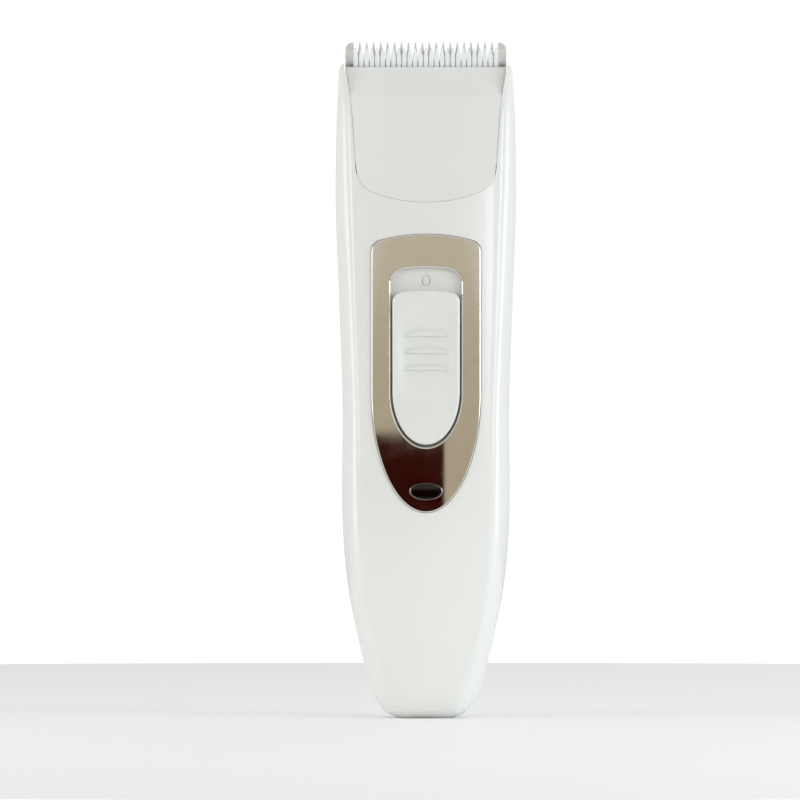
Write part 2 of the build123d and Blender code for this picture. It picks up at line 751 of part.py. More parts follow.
def blade_follower():
    """Carrier on the moving blade, with the fork that straddles the eccentric pin."""
    face = -FIXED_THICK - BLADE_GAP - MOVING_THICK
    pad = block(-10.4, 10.4, face - 1.8, face, -14.5, -8.5)
    for side in (-1, 1):
        pad += rod_y(SCREW_RADIUS, face - 1, face + MOVING_THICK - 0.4, side * 6, -11.5)
    fork = block(-4, 4, -0.5, 3.6, 145, 161.4)
    fork += block(-4, 4, -1.7, 4.7, 134.8, 150)
    gap = PIN_RADIUS + YOKE_CLEARANCE
    fork -= block(-gap, gap, -5, 10, 130, 141)
    blade_side = in_blade_frame(block(-REACH, REACH, face, 30, -40, 5))
    return in_blade_frame(pad) + (fork - blade_side)


# ---- head ----------------------------------------------------------------------------------------
def cover_profile():
    """Side view of the shield: thumb scoop, flat shield, band sloping back to the blade."""
    scoop = Spline((-14.9, 133.4), (-13.1, 136.0), (-12.1, 142.5), tangents=[(0.7, 1), (0.2, 1)])
    shield = Line((-12.1, 142.5), (-8.0, COVER_CREASE))
    band = Line((-8.0, COVER_CREASE), (0.3, COVER_TOP))
    lip = Line((0.3, COVER_TOP), (1.6, COVER_TOP))
    inner_band = Line((1.6, COVER_TOP), (-6.4, 160.9))
    inner_shield = Line((-6.4, 160.9), (-10.4, 142.5))
    inner_scoop = Line((-10.4, 142.5), (-11.6, 133.4))
    foot = Line((-11.6, 133.4), (-14.9, 133.4))
    return make_face([scoop, shield, band, lip, inner_band, inner_shield, inner_scoop, foot])


def cover_sheet():
    return extrude(Plane.YZ * cover_profile(), 30, both=True)


def head_cover():
    return cover_sheet() & front_prism(cover_outline(), -30, 10)


def blade_holder():
    """Frame that the fixed blade is screwed to, with two tongues for the clips."""
    front = -FIXED_THICK
    frame = block(-HOLDER_HALF, HOLDER_HALF, HOLDER_FRONT, front, -FIXED_LENGTH, HOLDER_TOP)
    frame -= block(-WINDOW_HALF, WINDOW_HALF, -8, BRIDGE_FRONT, -FIXED_LENGTH - 1, -16)
    frame += both_sides(block(20.05, HOLDER_HALF, -4.5, front, HOLDER_TOP, -9.0))
    for side in (-1, 1):
        frame -= rod_y(SCREW_RADIUS, -6, 0, side * BLADE_SCREW_X, BLADE_SCREW_U)
    holder = in_blade_frame(frame)
    tongue = block(TONGUE_IN + 0.1, TONGUE_OUT - 0.1, TONGUE_FRONT, TONGUE_BACK, TONGUE_LOW, 154)
    arm = block(12, 15, -8.0, 3, 150.5, 157.5)
    holder += both_sides(tongue + arm)
    for side in (-1, 1):
        holder -= in_blade_frame(rod_y(SCREW_RADIUS, -6, 0, side * BLADE_SCREW_X, BLADE_SCREW_U))
    return holder - cover_sheet()


def blade_springs():
    """Two leaves that press the moving blade on the fixed one."""
    follower_face = -FIXED_THICK - BLADE_GAP - MOVING_THICK - 1.8
    leaf = Polyline(
        (HOLDER_FRONT, -20.5),
        (HOLDER_FRONT, -15.5),
        (follower_face - 0.12, -11.0),
        (follower_face - 0.12, -9.5),
        (follower_face - 0.5, -9.5),
        (follower_face - 0.5, -10.8),
        (HOLDER_FRONT - 0.4, -15.3),
        (HOLDER_FRONT - 0.4, -20.5),
        close=True,
    )
    strip = extrude(Plane.YZ * make_face(leaf), 2.6)
    return both_sides(Pos(7.4, 0, 0) * strip)


# ---- every node -----------------------------------------------------------------------------------
def build_nodes():
    body = whole_body()
    cavity = handle_span(WALL)
    proud = handle_span(-BEZEL_PROUD)
    sunk = handle_span(BEZEL_SUNK)
    core = rotor_core()
    return {
        "front_housing": front_housing(body, cavity, sunk),
        "rear_housing": rear_housing(body, cavity),
        "housing_screws": housing_screws(),
        "switch_bezel": switch_bezel(proud, sunk),
        "led_lens": led_lens(body),
        "switch_button": switch_button(),
        "switch_carrier": switch_carrier(),
        "switch_slider": switch_slider(),
        "power_switch": power_switch(),
        "circuit_board": circuit_board(),
        "board_components": board_components(),
        "board_screws": board_screws(),
        "charge_led": charge_led(),
        "battery_cell_left": battery_cell(-CELL_X),
        "battery_cell_right": battery_cell(CELL_X),
        "battery_tabs": battery_tabs(),
        "battery_cradle": battery_cradle(cavity),
        "charge_socket": charge_socket(),
        "socket_contacts": socket_contacts(),
        "socket_wires": socket_wires(),
        "battery_wires": battery_wires(),
        "motor_wires": motor_wires(),
        "motor_can": motor_can(),
        "motor_end_cap": motor_end_cap(),
        "motor_bushes": motor_bushes(),
        "motor_magnets": motor_magnets(),
        "motor_brushes": motor_brushes(),
        "motor_terminals": motor_terminals(),
        "motor_sleeve": motor_sleeve(),
        "motor_mount": motor_mount(cavity),
        "motor_screws": motor_screws(),
        "head_clips": head_clips(),
        "hair_guard": hair_guard(cavity),
        "motor_shaft": motor_shaft(),
        "rotor_core": core,
        "rotor_windings": rotor_windings(core),
        "commutator": commutator(),
        "eccentric_cam": eccentric_cam(),
        "eccentric_pin": eccentric_pin(),
        "head_cover": head_cover(),
        "blade_holder": blade_holder(),
        "fixed_blade": in_blade_frame(fixed_blade()),
        "blade_screws": in_blade_frame(blade_screws()),
        "blade_springs": in_blade_frame(blade_springs()),
        "moving_blade": in_blade_frame(moving_blade()),
        "blade_follower": blade_follower(),
    }


def main():
    os.makedirs("parts", exist_ok=True)
    for name, shape in build_nodes().items():
        export_step(shape, f"parts/{name}.step")
        print(name, len(shape.solids()), round(shape.volume, 1))


main()
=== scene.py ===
"""Looks of the cordless pet clipper, built round its CAD frame.

Lengths in the shape code are millimetres, scaled by MM when a mesh is made.
X is across the clipper, the switch side faces -Y, Z runs up to the blade tips.
"""

import json
import math

import bmesh
import bpy
import numpy as np
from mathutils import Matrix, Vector
from mathutils.bvhtree import BVHTree
from mathutils.interpolate import poly_3d_calc


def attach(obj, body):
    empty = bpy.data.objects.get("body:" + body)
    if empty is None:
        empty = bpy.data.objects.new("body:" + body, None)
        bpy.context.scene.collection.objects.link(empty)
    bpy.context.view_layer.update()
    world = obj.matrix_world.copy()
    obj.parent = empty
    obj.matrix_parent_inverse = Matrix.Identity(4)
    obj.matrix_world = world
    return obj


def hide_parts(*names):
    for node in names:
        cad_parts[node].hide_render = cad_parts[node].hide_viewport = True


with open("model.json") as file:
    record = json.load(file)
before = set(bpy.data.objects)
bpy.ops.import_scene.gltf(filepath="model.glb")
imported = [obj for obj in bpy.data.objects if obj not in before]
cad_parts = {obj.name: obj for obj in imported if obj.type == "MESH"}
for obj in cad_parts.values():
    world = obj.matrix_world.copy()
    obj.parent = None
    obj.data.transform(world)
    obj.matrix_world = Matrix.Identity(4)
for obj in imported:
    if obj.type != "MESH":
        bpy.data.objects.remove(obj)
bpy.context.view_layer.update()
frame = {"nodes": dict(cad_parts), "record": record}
MM = 0.001

# ---- camera, floor and lights: metres, except the floor and sensor (millimetres) -----------------
VIEW_CENTRE = (-6.75 * MM, 0.0, 82.7 * MM)
VIEW_HEIGHT = 208.5 * MM
CAMERA_DISTANCE = 2.5
SENSOR = 36.0
FLOOR_RADIUS = 520.0
LIGHT_TARGET = (0.0, 0.0, 90 * MM)
WARM = (1.0, 0.965, 0.92)
COOL = (0.92, 0.97, 1.0)

# Where things round the room fade, as parts of a unit direction: from the first to the second.
DARK_TOP = (0.024, 0.014)
DARK_SIDE = (0.14, 0.11)
WALL_EDGE = (-0.94, -0.87)

# ---- body shape: height, half width, half panel width, front, back -------------------------------
STATIONS = [
    (0.0, 7.4, 4.4, -6.6, 6.6),
    (1.2, 10.2, 6.0, -9.5, 9.2),
    (2.4, 11.4, 6.8, -10.9, 10.5),
    (5.2, 13.2, 7.7, -12.5, 11.9),
    (8.3, 14.3, 8.6, -13.6, 13.0),
    (14.6, 16.2, 11.0, -15.3, 14.7),
    (22.0, 17.9, 13.2, -16.7, 16.2),
    (33.0, 20.1, 15.2, -18.1, 17.7),
    (45.0, 21.4, 16.3, -19.0, 18.8),
    (60.0, 21.9, 16.9, -19.5, 19.4),
    (80.0, 21.7, 17.3, -19.4, 19.2),
    (108.0, 22.6, 18.3, -18.4, 17.7),
    (133.0, 23.5, 19.0, -15.7, 14.4),
    (150.0, 23.4, 19.6, -12.9, 10.3),
    (161.0, 23.0, 20.0, -10.4, 8.4),
    (172.0, 22.5, 19.8, -5.6, 6.2),
]
PANEL_RADIUS = 78.0
PANEL_KINK = 0.22
FLANK_HOLD = 0.55
BACK_HOLD = 0.72
WALL = 2.0
FLOOR_TOP = 8.3
CAVITY_STEP = 2.5
CAVITY_POINTS = 12
SHOULDER_TOP = 170.5
SHOULDER_RADIUS = 2.0
SEAM = 0.06
ROW_STEP = 1.2
SEGMENT_POINTS = 26
TURNED_POINTS = 48
ARCH_POINTS = 14
CORNER_POINTS = 9
SIDE_POINTS = 20
BOWL_POINTS = 30

# ---- front features ------------------------------------------------------------------------------
BEZEL = dict(half=14.17, top=125.6, straight=84.5, drop=30.9, arch=2.3, corner=2.8)
OPENING = dict(half=9.35, top=117.2, straight=84.5, drop=14.2, arch=1.0, corner=4.2)
BUTTON = dict(half=8.7, top=111.15, straight=84.8, drop=13.7, arch=1.0, corner=2.6)
BEZEL_PROUD = 0.5
FLAT_OUT = -0.26
FLAT_IN = 0.3
BEZEL_FIT = 0.14
FLANGE_REACH = 0.4
FLANGE_SUNK = 0.95
FLANGE_THICK = 0.95
LIP_WIDE = 0.3
LIP_DROP = 0.25
TRAY_WALL = 1.2
TRAY_FLOOR = 1.4
RECESS_FLOOR = -16.2
STEM_SLOT_HALF = 2.0
STEM_SLOT_LOW = 85.8
STEM_SLOT_HIGH = 101.2
BUTTON_FACE = -20.8
BUTTON_BACK = -16.35
BUTTON_FACE_INSET = 0.6
DISH_CENTRE = 95.0
DISH_HALF = 12.4
DISH_DEPTH = 1.0
DISH_RAMP = 3.0
GRIP_HEIGHTS = (99.3, 94.9, 90.5)
GRIP_HALF = 5.6
GRIP_RISE = 1.6
GRIP_COLUMNS = 41
LENS_Z = 59.07
LENS_HALF_WIDTH = 4.25
LENS_HALF_HEIGHT = 2.25
WINDOW_INSET = 0.32
WINDOW_EDGE = 0.1
WINDOW_SUNK = 0.2
WINDOW_DOME = 0.05
MARK_Z = 113.7
MARK_HALF_WIDTH = 1.2
MARK_HALF_HEIGHT = 1.5
MARK_LINE = 0.32
MARK_DEPTH = 0.28
MARK_POINTS = 48

# ---- head ----------------------------------------------------------------------------------------
COVER_TOP = 169.5
COVER_TOP_HALF = 21.05
COVER_CREASE = 161.5
COVER_CREASE_HALF = 19.6
COVER_LOW_HALF = 17.9
COVER_LOW_SIDE = 138.4
COVER_BOTTOM = 133.9
COVER_CORNER = 7.3
COVER_FIT = 0.03
BAND_ROLL = 1.9
BAND_ROLL_RADIUS = 4.0
BAND_ROLL_RAMP = 3.0
SCOOP_TOP = 142.5
SCOOP_TOP_Y = -12.1
SCOOP_LEAN = 0.56
SCOOP_BOW = 0.69
CREASE_Y = -8.0
BAND_RISE = 8.3
CREASE_SOFT = 0.02
COVER_THICK = 1.5
CORNER_RISE = 2.5
STRAIGHT_RISE = 6.5
SHIELD_STEP = 1.6
MOUTH_HALF = 21.3
MOUTH_FRONT = -9.0
MOUTH_GAP = 0.4
BLADE_TILT = math.radians(16.0)
TIP_Y = 3.0
TIP_Z = 176.0
BLADE_LENGTH = 24.0
HOUSING_SCREWS = [(9.5, 14.5), (-9.5, 14.5), (16.0, 131.0), (-16.0, 131.0)]
SCREW_SEAT = 6.0
SCREW_RADIUS = 1.1
SEAT_RADIUS = 2.4
BOSS_RADIUS = 2.8
SOCKET_RADIUS = 3.05
SOCKET_CHAMFER = 0.35
SOCKET_DEEP = 9.0
SCREW_END = -11.0
BEZEL_HOLE_BACK = -8.0
COVER_HOLE_BACK = -3.0

# Cutters reach this far past the clipper.
REACH = 60.0

# Points across the grids of the shield and the button.
SHIELD_COLUMNS = 61
BUTTON_COLUMNS = 41
BUTTON_ROWS = 61


# ---- mesh helpers --------------------------------------------------------------------------------
def new_object(name, points, faces):
    """Mesh object from points in millimetres."""
    mesh = bpy.data.meshes.new(name)
    mesh.from_pydata([Vector(p) * MM for p in points], [], faces)
    mesh.validate()
    obj = bpy.data.objects.new(name, mesh)
    bpy.context.scene.collection.objects.link(obj)
    outward(obj)
    return obj


def outward(obj):
    """Makes every face point out."""
    work = bmesh.new()
    work.from_mesh(obj.data)
    bmesh.ops.remove_doubles(work, verts=work.verts, dist=1e-7)
    bmesh.ops.recalc_face_normals(work, faces=work.faces)
    work.to_mesh(obj.data)
    work.free()


def ring_faces(rings, count, cap_first, cap_last, closed=False):
    """Quads between rings of equal size that are stored one after the other."""
    faces = []
    last = rings if closed else rings - 1
    for r in range(last):
        a, b = r * count, (r + 1) % rings * count
        for i in range(count):
            j = (i + 1) % count
            faces.append((a + i, a + j, b + j, b + i))
    if cap_first:
        faces.append(tuple(range(count)))
    if cap_last:
        faces.append(tuple(range((rings - 1) * count, rings * count)))
    return faces


def ringed(name, rings, closed=False):
    """Skin over a row of rings: capped at both ends, or closed from the last ring to the first."""
    faces = ring_faces(len(rings), len(rings[0]), not closed, not closed, closed)
    return new_object(name, np.concatenate(rings), faces)


def smooth(obj, degrees=35.0):
    """Smooth shading that keeps edges sharper than the angle."""
    obj.data.shade_smooth()
    obj.data.set_sharp_from_angle(angle=math.radians(degrees))
    return obj


def apply_modifiers(obj):
    """Turns the object's modifiers into mesh."""
    graph = bpy.context.evaluated_depsgraph_get()
    mesh = bpy.data.meshes.new_from_object(obj.evaluated_get(graph))
    obj.modifiers.clear()
    obj.data = mesh


def remove(obj):
    """Deletes a cutter or a helper surface."""
    bpy.data.objects.remove(obj)


def carve(obj, other):
    """Cuts the other object out of the first. The cut faces get material index 1."""
    for face in other.data.polygons:
        face.material_index = 1
    while len(obj.data.materials) < 2:
        obj.data.materials.append(None)
    while len(other.data.materials) < 2:
        other.data.materials.append(None)
    cut = obj.modifiers.new("cut", "BOOLEAN")
    cut.object = other
    cut.operation = "DIFFERENCE"
    cut.solver = "EXACT"
    apply_modifiers(obj)
    remove(other)
    return obj


def join(obj, others):
    """Adds the meshes of other objects to the first one."""
    work = bmesh.new()
    work.from_mesh(obj.data)
    for other in others:
        work.from_mesh(other.data)
        remove(other)
    work.to_mesh(obj.data)
    work.free()
    return obj


def cuboid(name, low, high):
    """Box between two corners."""
    corners = [(x, y, z) for x in (low[0], high[0]) for y in (low[1], high[1]) for z in (low[2], high[2])]
    faces = [(0, 1, 3, 2), (4, 6, 7, 5), (0, 4, 5, 1), (2, 3, 7, 6), (0, 2, 6, 4), (1, 5, 7, 3)]
    return new_object(name, corners, faces)


def turned(name, profile, axis_point, along):
    """Solid of revolution: profile is (radius, distance along the axis)."""
    across = [i for i in range(3) if i != along]
    angles = np.linspace(0, 2 * math.pi, TURNED_POINTS, endpoint=False)
    rings = []
    for radius, distance in profile:
        ring = np.zeros((TURNED_POINTS, 3))
        ring[:, across[0]] = axis_point[across[0]] + radius * np.cos(angles)
        ring[:, across[1]] = axis_point[across[1]] + radius * np.sin(angles)
        ring[:, along] = distance
        rings.append(ring)
    return ringed(name, rings)


# ---- body surface --------------------------------------------------------------------------------
def slope_at(index, column):
    """Slope of one column at a station, from its neighbours."""
    low = STATIONS[max(index - 1, 0)]
    high = STATIONS[min(index + 1, len(STATIONS) - 1)]
    return (high[column] - low[column]) / (high[0] - low[0])


def station_at(z):
    """Half width, half panel width, front and back at any height."""
    index = max(i for i, row in enumerate(STATIONS[:-1]) if row[0] <= max(z, 0))
    low, high = STATIONS[index], STATIONS[index + 1]
    span = high[0] - low[0]
    t = (z - low[0]) / span
    values = []
    for column in range(1, 5):
        start, end = low[column], high[column]
        lean_out = slope_at(index, column) * span
        lean_in = slope_at(index + 1, column) * span
        bend = t * (1 - t) * ((1 - t) * lean_out - t * lean_in)
        values.append(start + t * t * (3 - 2 * t) * (end - start) + bend)
    return values


def front_y(x, z):
    """Depth of the front panel."""
    return station_at(z)[2] + x * x / (2 * PANEL_RADIUS)


def bezier(points, count):
    """Points along a Bezier curve, without its last one."""
    t = np.linspace(0, 1, count, endpoint=False)[:, None]
    layers = [np.array(p, float)[None, :] * np.ones_like(t) for p in points]
    while len(layers) > 1:
        layers = [a * (1 - t) + b * t for a, b in zip(layers, layers[1:])]
    return layers[0]


def section(z, inset=0.0, count=SEGMENT_POINTS):
    """Closed cross-section of the body at one height."""
    half, panel, front, back = station_at(z)
    half, panel = half - inset, panel - 0.6 * inset
    front, back = front + inset, back - inset
    slope = panel / PANEL_RADIUS
    edge = front + panel * slope / 2
    reach = FLANK_HOLD * (half - panel)
    turn = edge + reach * (slope + PANEL_KINK)
    face = bezier([(-panel, edge), (0, 2 * front - edge), (panel, edge)], count)
    flank = bezier([(panel, edge), (panel + reach, turn), (half, edge * FLANK_HOLD), (half, 0)], count)
    rear = bezier([(half, 0), (half, BACK_HOLD * back), (BACK_HOLD * half, back), (0, back)], count)
    right = np.concatenate([flank, rear, [(0, back)]])
    left = right[::-1][1:-1] * (-1, 1)
    loop = np.concatenate([face, right, left])
    return np.column_stack([loop, np.full(len(loop), z)])


def shoulder_shrink(z):
    """How far the surface has drawn in on the round top of the shoulders."""
    over = max(0.0, z - (SHOULDER_TOP - SHOULDER_RADIUS))
    return SHOULDER_RADIUS - math.sqrt(max(SHOULDER_RADIUS**2 - over**2, 0.0))


def body_heights():
    """Row heights: close together on both rounded ends."""
    end = np.linspace(0, 6, 25)
    middle = np.arange(6 + ROW_STEP, SHOULDER_TOP - SHOULDER_RADIUS, ROW_STEP)
    angles = np.linspace(0, math.pi / 2, 10)[:-1]
    shoulder = SHOULDER_TOP - SHOULDER_RADIUS + SHOULDER_RADIUS * np.sin(angles)
    return np.concatenate([end, middle, shoulder])


def outer_body(name):
    """Closed outer surface of the whole clipper body."""
    rings = [section(z, shoulder_shrink(z)) for z in body_heights()]
    return ringed(name, rings)


def cavity_body(name):
    """Room inside the walls, above the floor of the flat end."""
    heights = np.arange(FLOOR_TOP, STATIONS[-1][0], CAVITY_STEP)
    return ringed(name, [section(z, WALL, CAVITY_POINTS) for z in heights])


# ---- outlines ------------------------------------------------------------------------------------
def arched(shape, grow=0.0):
    """Outline with a low arch, round corners, straight sides and half an ellipse below."""
    half = shape["half"] + grow
    top = shape["top"] + grow
    drop = shape["drop"] + grow
    corner = shape["corner"] + grow
    arch = shape["arch"]
    radius = (half**2 + arch**2) / (2 * arch)
    corner_x = half - corner
    corner_z = top - radius + math.sqrt((radius - corner) ** 2 - corner_x**2)
    tilt = math.atan2(corner_z - top + radius, corner_x)
    right = []
    for angle in np.linspace(math.pi / 2, tilt, ARCH_POINTS, endpoint=False):
        right.append((radius * math.cos(angle), top - radius + radius * math.sin(angle)))
    for angle in np.linspace(tilt, 0, CORNER_POINTS, endpoint=False):
        right.append((corner_x + corner * math.cos(angle), corner_z + corner * math.sin(angle)))
    for z in np.linspace(corner_z, shape["straight"], SIDE_POINTS, endpoint=False):
        right.append((half, z))
    for angle in np.linspace(0, math.pi / 2, BOWL_POINTS, endpoint=False):
        right.append((half * math.cos(angle), shape["straight"] - drop * math.sin(angle)))
    bottom = [(0.0, shape["straight"] - drop)]
    left = [(-x, z) for x, z in right[:0:-1]]
    return np.array(right + bottom + left)


def ellipse(half_width, half_height, centre_z, count=72):
    """Oval outline in X and Z."""
    angles = np.linspace(0, 2 * math.pi, count, endpoint=False)
    return np.column_stack([half_width * np.cos(angles), centre_z + half_height * np.sin(angles)])


def at_depth(outline, depth):
    """Outline in X and Z placed at one depth, or at the depth a function gives."""
    if callable(depth):
        y = [depth(x, z) for x, z in outline]
    else:
        y = np.full(len(outline), depth)
    return np.column_stack([outline[:, 0], y, outline[:, 1]])


def sunk(outline, depth):
    """Outline laid this far behind the front panel, following its curve."""
    return at_depth(outline, lambda x, z: front_y(x, z) + depth)


def prism(name, outline, front, back):
    """Outline drawn out along Y between two depths."""
    return ringed(name, [at_depth(outline, front), at_depth(outline, back)])


def cover_corner():
    """Centre of the round corner between the cover's side and its lower arc."""
    sagitta = COVER_LOW_SIDE - COVER_BOTTOM
    big = (COVER_LOW_HALF**2 + sagitta**2) / (2 * sagitta)
    run = COVER_CREASE_HALF - COVER_LOW_HALF
    rise = COVER_CREASE - COVER_LOW_SIDE
    length = math.hypot(run, rise)
    low, high = COVER_BOTTOM, COVER_CREASE
    for _ in range(60):
        z = (low + high) / 2
        side_x = COVER_LOW_HALF + (z - COVER_LOW_SIDE) * run / rise
        x = side_x - COVER_CORNER * length / rise
        gap = big - math.hypot(x, z - COVER_BOTTOM - big)
        low, high = (z, high) if gap < COVER_CORNER else (low, z)
    return big, x, z, math.atan2(-run, rise)


def cover_outline(grow=0.0):
    """Right half of the shield from the bottom up, then the left half down again."""
    big, corner_x, corner_z, side_angle = cover_corner()
    centre_z = COVER_BOTTOM + big
    meet = math.atan2(corner_z - centre_z, corner_x)
    right = []
    for angle in np.linspace(-math.pi / 2, meet, 20, endpoint=False):
        right.append(((big + grow) * math.cos(angle), centre_z + (big + grow) * math.sin(angle)))
    for angle in np.linspace(meet, side_angle, 18, endpoint=False):
        turn = COVER_CORNER + grow
        right.append((corner_x + turn * math.cos(angle), corner_z + turn * math.sin(angle)))
    side_start = corner_z + COVER_CORNER * math.sin(side_angle)
    for z in np.linspace(side_start, COVER_TOP, 40):
        right.append((side_half(z) + grow, z))
    left = [(-x, z) for x, z in right[::-1]]
    return np.array(right + left[:-1])


def side_half(z):
    """Half width of the shield above its lower corners, bent softly at the crease."""
    low_slope = (COVER_CREASE_HALF - COVER_LOW_HALF) / (COVER_CREASE - COVER_LOW_SIDE)
    high_slope = (COVER_TOP_HALF - COVER_CREASE_HALF) / (COVER_TOP - COVER_CREASE)
    over = z - COVER_CREASE
    soft = (over + math.sqrt(over**2 + 1.0)) / 2
    return COVER_CREASE_HALF + low_slope * (over - soft) + high_slope * soft


# ---- housing shells ------------------------------------------------------------------------------
def blade_box(name, low, high):
    """Box given in the blade's tilted axes."""
    box = cuboid(name, low, high)
    for vertex in box.data.vertices:
        y, z = vertex.co.y, vertex.co.z
        vertex.co.y = TIP_Y * MM + y * math.cos(BLADE_TILT) - z * math.sin(BLADE_TILT)
        vertex.co.z = TIP_Z * MM + y * math.sin(BLADE_TILT) + z * math.cos(BLADE_TILT)
    return box


def match_normals(obj, source):
    """Gives the outer faces the normals of the uncut source, so cuts don't dent the gloss.

    The source is removed afterwards.
    """
    base = source.data
    tree = BVHTree.FromPolygons([v.co for v in base.vertices], [p.vertices for p in base.polygons])
    normals = [Vector(n.vector) for n in base.vertex_normals]
    mesh = obj.data
    smooth(obj)
    found = {}
    loops = [(0.0, 0.0, 0.0)] * len(mesh.loops)
    for face in mesh.polygons:
        if face.material_index != 0:
            continue
        for index in face.loop_indices:
            vertex = mesh.loops[index].vertex_index
            if vertex not in found:
                point, _, near, _ = tree.find_nearest(mesh.vertices[vertex].co)
                ring = base.polygons[near].vertices
                shares = poly_3d_calc([base.vertices[i].co for i in ring], point)
                total = Vector()
                for share, i in zip(shares, ring):
                    total += normals[i] * share
                found[vertex] = total.normalized()
            loops[index] = found[vertex]
    mesh.normals_split_custom_set(loops)
    remove(source)


def cavity_room():
    """Cavity with the screw bosses left standing in it."""
    post = [(BOSS_RADIUS, -REACH), (BOSS_RADIUS, REACH)]
    bosses = [turned("boss", post, (x, 0, z), 1) for x, z in HOUSING_SCREWS]
    return carve(cavity_body("room"), join(bosses[0], bosses[1:]))


def screw_and_socket_holes():
    """Cutter for the stepped screw holes in the back and the socket in the flat end."""
    holes = []
    for x, z in HOUSING_SCREWS:
        steps = [(SCREW_RADIUS, SCREW_END), (SCREW_RADIUS, SCREW_SEAT)]
        steps += [(SEAT_RADIUS, SCREW_SEAT), (SEAT_RADIUS, REACH)]
        holes.append(turned("seat", steps, (x, 0, z), 1))
    mouth = SOCKET_RADIUS + SOCKET_CHAMFER
    socket = [(mouth, -1), (mouth, 0.05), (SOCKET_RADIUS, 0.45), (SOCKET_RADIUS, SOCKET_DEEP)]
    return join(turned("socket", socket, (0, 0, 0), 2), holes)


def shell(name, low_y, high_y):
    """One half of the housing, hollow and open at the head."""
    half = outer_body(name)
    carve(half, cuboid("side", (-REACH, low_y, -REACH), (REACH, high_y, TIP_Z + REACH)))
    carve(half, cavity_room())
    mouth_low = (-MOUTH_HALF, MOUTH_FRONT, -BLADE_LENGTH - MOUTH_GAP)
    carve(half, blade_box("mouth", mouth_low, (MOUTH_HALF, REACH, REACH)))
    above_low = (-MOUTH_HALF, -REACH, COVER_TOP - COVER_FIT)
    carve(half, cuboid("above", above_low, (MOUTH_HALF, REACH, TIP_Z + REACH)))
    carve(half, screw_and_socket_holes())
    return half


def recess_tray():
    """White walls and floor that the button slides in, and the flange under the bezel."""
    rim = sunk(arched(BEZEL, FLANGE_REACH), FLANGE_SUNK)
    lip = sunk(arched(OPENING, LIP_WIDE), FLANGE_SUNK)
    lip_edge = sunk(arched(OPENING), FLANGE_SUNK + LIP_DROP)
    wall_foot = at_depth(arched(OPENING), RECESS_FLOOR)
    back = at_depth(arched(OPENING, TRAY_WALL), RECESS_FLOOR + TRAY_FLOOR)
    back_lip = sunk(arched(OPENING, TRAY_WALL), FLANGE_SUNK + FLANGE_THICK + LIP_WIDE)
    back_rim = sunk(arched(BEZEL, FLANGE_REACH), FLANGE_SUNK + FLANGE_THICK)
    rings = [wall_foot, lip_edge, lip, rim, back_rim, back_lip, back]
    return ringed("tray", rings)


def stem_slot():
    """Cutter for the slot in the recess floor that the button's stem slides in."""
    low = (-STEM_SLOT_HALF, RECESS_FLOOR - 1, STEM_SLOT_LOW)
    high = (STEM_SLOT_HALF, RECESS_FLOOR + TRAY_FLOOR + 1, STEM_SLOT_HIGH)
    return cuboid("stem_slot", low, high)


def front_shell():
    """Front half of the housing and the tray in its recess."""
    half = shell("front_shell", -SEAM, REACH)
    carve(half, prism("bezel_hole", arched(BEZEL, BEZEL_FIT), -REACH, BEZEL_HOLE_BACK))
    carve(half, prism("cover_hole", cover_outline(COVER_FIT), -REACH, COVER_HOLE_BACK))
    match_normals(half, outer_body("source"))
    tray = carve(recess_tray(), off_mark())
    tray = smooth(carve(tray, stem_slot()))
    return half, tray


def rear_shell():
    """Rear half of the housing."""
    half = shell("rear_shell", -REACH, SEAM)
    match_normals(half, outer_body("source"))
    return half


# ---- front pieces --------------------------------------------------------------------------------
def bezel():
    """Chrome ring: rounded edges, a top that follows the panel and walls down into the housing.

    Each edge is a row of (growth of the outline, depth behind the panel).
    """
    outer_edge = [(0.0, 0.9), (0.0, -0.2), (-0.04, -0.36), (-0.12, -0.46), (-0.22, -0.5)]
    inner_edge = [(0.2, -0.5), (0.08, -0.45), (-0.06, -0.33), (-0.18, -0.12), (-0.22, 0.1), (-0.22, 1.2)]
    rings = [sunk(arched(BEZEL, grow), depth) for grow, depth in outer_edge]
    start, end = arched(BEZEL, FLAT_OUT), arched(OPENING, FLAT_IN)
    for share in np.linspace(0, 1, 14):
        rings.append(sunk(start * (1 - share) + end * share, -BEZEL_PROUD))
    rings += [sunk(arched(OPENING, grow), depth) for grow, depth in inner_edge]
    ring = ringed("chrome_bezel", rings, closed=True)
    source = ringed("source", rings, closed=True)
    smooth(source, 60)
    hole = prism("hole", ellipse(LENS_HALF_WIDTH, LENS_HALF_HEIGHT, LENS_Z), -REACH, 0)
    carve(ring, hole)
    match_normals(ring, source)
    return ring


def lens():
    """Smoked oval window, slightly domed."""
    surface = front_y(0, LENS_Z) - BEZEL_PROUD
    wide, high = LENS_HALF_WIDTH - WINDOW_INSET, LENS_HALF_HEIGHT - WINDOW_INSET
    rings = []
    for grow, depth in [(0.0, 3.0), (0.0, 0.28), (-WINDOW_EDGE, WINDOW_SUNK)]:
        rings.append(at_depth(ellipse(wide + grow, high + grow, LENS_Z), surface + depth))
    for share in np.linspace(0.9, 0.05, 10):
        outline = ellipse((wide - WINDOW_EDGE) * share, (high - WINDOW_EDGE) * share, LENS_Z)
        rings.append(at_depth(outline, surface + WINDOW_SUNK - WINDOW_DOME * (1 - share**2)))
    return smooth(ringed("charge_window", rings))


def lens_rim():
    """Thin bright rim round the window: (growth of the outline, depth behind the chrome)."""
    surface = front_y(0, LENS_Z) - BEZEL_PROUD
    profile = [(-0.02, 1.5), (-0.02, 0.05), (-0.09, -0.05), (-0.2, -0.05), (-0.3, 0.08), (-0.32, 1.5)]
    rings = []
    for grow, depth in profile:
        outline = ellipse(LENS_HALF_WIDTH + grow, LENS_HALF_HEIGHT + grow, LENS_Z)
        rings.append(at_depth(outline, surface + depth))
    return smooth(ringed("window_rim", rings, closed=True), 50)


